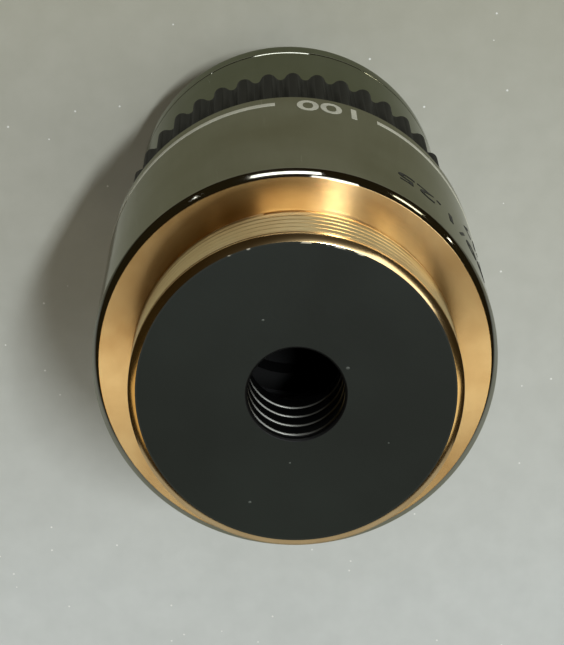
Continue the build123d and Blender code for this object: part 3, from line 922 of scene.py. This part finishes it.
colour_line = line_arc("colour_line", BARREL_RADIUS, -15.42, -14.77, 243.4, 328.2, white_paint)
power_number = wrapped_text(
    "power_number", "100", BARREL_RADIUS, -15.95, -13.6, 250.2, 268.6, 0.012, white_paint
)
aperture_number = wrapped_text(
    "aperture_number", "100/1.25", BARREL_RADIUS, -5.75, -4.25, 192, 239, 0.004, black_paint
)
tube_number = wrapped_text("tube_number", "160/0.17", BARREL_RADIUS, -10.4, -8.9, 172, 209, 0.0, black_paint)

# %% [markdown]
# ## Return spring
#
# The spring pushes the lens barrel down onto its seat, and it shortens as the nose is pushed in. A merged
# copy of the solid coil is dressed and fixed to the mount body.

# %% Dress the spring
only(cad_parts["return_spring"])
bpy.ops.object.duplicate()
return_coil = bpy.context.object
for key in list(return_coil.keys()):
    del return_coil[key]
settle(return_coil, "return_coil")
bpy.ops.object.mode_set(mode="EDIT")
bpy.ops.mesh.select_all(action="SELECT")
bpy.ops.mesh.remove_doubles(threshold=0.001 * MM)
bpy.ops.object.mode_set(mode="OBJECT")
smooth(return_coil, 60)
paint(return_coil, [spring_steel])
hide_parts("return_spring")
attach(return_coil, "mount_body")
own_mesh(return_coil)

# %% [markdown]
# ## Finishes on the solids that stay
#
# The pieces inside keep their solids. They show only through the hole and the nose, but each gets its own
# finish, because the lens unit can be looked at by itself.

# %% Dress the inner pieces
INNER_FINISH = {
    "parfocal_shim": brass,
    "guide_screw": screw_steel,
    "centring_screws": screw_steel,
    "meniscus_cell": cell_black,
    "lower_doublet_cell": cell_black,
    "upper_doublet_cell": cell_black,
    "cell_spacer": cell_black,
    "pupil_stop": cell_black,
    "lens_lock_ring": cell_black,
    "front_lens": glass,
    "meniscus_lens": glass,
    "lower_doublet_flint": glass,
    "lower_doublet_crown": glass,
    "upper_doublet_flint": glass,
    "upper_doublet_crown": glass,
}
for node, material in INNER_FINISH.items():
    paint(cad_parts[node], [material])
paint(
    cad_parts["lens_barrel"],
    [brass, cell_black],
    lambda radius, height: 1 if radius < 5.7 or height > -12.45 or height < -41 else 0,
)

# %% [markdown]
# ## Floor and light
#
# The floor is pale, with painted shade on it: its colour is darker and yellower away from the viewer, where
# the light falls off. A long narrow key lamp makes the bright streak on the turned shoulder, and a broad one
# beside it softens the shadow. The brass faces mirror a ceiling in three bands, and small lamps low down sit
# in the barrel's rear chamfer and in the nose's joint. The low wall gives the plated walls a pale horizon.

# %% Lay the floor
FLOOR_HEIGHT = -44.87
deselect_all()
bpy.ops.mesh.primitive_grid_add(x_subdivisions=8, y_subdivisions=8, size=4, location=(0, 0, FLOOR_HEIGHT * MM))
floor = settle(bpy.context.object, "floor")
floor_material, tree, shader = new_material("pale_floor", (0.5, 0.5, 0.47), roughness=0.75)
# Pale flecks laid into the floor's colour: painted highlights, the foam's glitter drawn as colour.
fleck = effect(tree, "specks", "Mask", Per_metre=900, Size=0.08, Share=0.25)
grain = effect(tree, "blotches", "Mask", Scale=500, Low=0.3, High=0.75)
coordinates = tree.nodes.new("ShaderNodeTexCoord")
split = tree.nodes.new("ShaderNodeSeparateXYZ")
tree.links.new(coordinates.outputs["Object"], split.inputs[0])
# Painted light: the floor's colour runs darker and yellower away from the viewer, painted shade standing in for
# the light that falls off there.
painted_falloff = tree.nodes.new("ShaderNodeMapRange")
painted_falloff.inputs["From Min"].default_value = -14 * MM
painted_falloff.inputs["From Max"].default_value = 40 * MM
tree.links.new(split.outputs[1], painted_falloff.inputs["Value"])
graded = mix_colors(tree, painted_falloff.outputs["Result"], (0.43, 0.42, 0.35), (0.6, 0.62, 0.61))
shaded = mix_colors(tree, painted_falloff.outputs["Result"], (0.4, 0.39, 0.32), (0.56, 0.58, 0.57))
floor_color = mix_colors(tree, grain, shaded, graded)
tree.links.new(mix_colors(tree, fleck, floor_color, (0.8, 0.8, 0.78)), shader.inputs["Base Color"])
paint(floor, [floor_material])
floor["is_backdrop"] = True

# %% Stand a low pale wall round the floor
WALL_DISTANCE, WALL_TOP = 320, 33
low_wall = outline_edges([(WALL_DISTANCE, FLOOR_HEIGHT), (WALL_DISTANCE, WALL_TOP)])
spin_round(64)
bpy.ops.object.mode_set(mode="OBJECT")
settle(low_wall, "low_wall")
wall_material, tree, shader = new_material("pale_wall", (0.5, 0.5, 0.46), roughness=0.8)
paint(low_wall, [wall_material])
low_wall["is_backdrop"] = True

# %% Hang the lights


def lamp(name, azimuth, elevation, distance, width, height, radiance, color=(1, 1, 1)):
    """A rectangular lamp at that bearing from the shoulder, facing it. radiance is its brightness."""
    bearing, rise = math.radians(azimuth), math.radians(elevation)
    direction = Vector((math.cos(rise) * math.cos(bearing), math.cos(rise) * math.sin(bearing), math.sin(rise)))
    deselect_all()
    bpy.ops.object.light_add(type="AREA", location=direction * distance)
    light = bpy.context.object
    light.name = name
    light.rotation_euler = direction.to_track_quat("Z", "Y").to_euler()
    light.data.shape = "RECTANGLE"
    light.data.size = width
    light.data.size_y = height
    light.data.color = color
    light.data.energy = radiance * math.pi * width * height
    return light


lamp("key", 240, 69, 1.0, 0.035, 0.16, 310, (0.94, 0.99, 1))
lamp("soft_key", 205, 60, 1.0, 0.5, 0.5, 3.2, (0.94, 0.99, 1))
lamp("window", 272.7, 16.9, 0.6, 0.277, 0.07, 6)
lamp("second_lamp", 223.7, 12.5, 0.6, 0.126, 0.03, 7, (1, 0.93, 0.7))
lamp("lamp_dot", 203.5, 8.4, 0.6, 0.02, 0.025, 9, (1, 0.95, 0.8))
lamp("far_dot", 309.2, 14.4, 0.6, 0.006, 0.04, 9)
lamp("seam_lamp", 253, 27.5, 0.6, 0.18, 0.07, 3.5)
lamp("low_ceiling", 90, 54.5, 0.5, 0.6, 0.13, 0.25, (1, 0.97, 0.82))
lamp("ceiling", 90, 66.3, 0.5, 0.6, 0.073, 0.85, (1, 0.97, 0.82))
lamp("high_ceiling", 90, 77.5, 0.5, 0.6, 0.12, 0.12, (1, 0.93, 0.72))
lamp("left_card", 32, 40, 0.5, 0.18, 0.22, 0.8, (1, 0.75, 0.35))
lamp("right_card", 148, 40, 0.5, 0.18, 0.22, 1.3, (1, 0.9, 0.62))
lamp("near_card", 90, 10, 0.13, 0.3, 0.05, 0.5, (0.95, 1, 1))

world = bpy.data.worlds.new("room")
bpy.context.scene.world = world
world.use_nodes = True
world.node_tree.nodes["Background"].inputs["Color"].default_value = (0.026, 0.019, 0.008, 1)
world.node_tree.nodes["Background"].inputs["Strength"].default_value = 1.0

# %% [markdown]
# ## Sizes and the end
#
# The boxes of the solids and of the dressed part are gathered, and the dressed part's box is printed.

# %% Gather the sizes and print the dressed part's box
size = {"cad": [list(corner) for corner in cad_box], "scene": [list(corner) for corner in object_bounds()]}
print("sizes in mm:", [[round(c / MM, 2) for c in corner] for corner in size["scene"]])
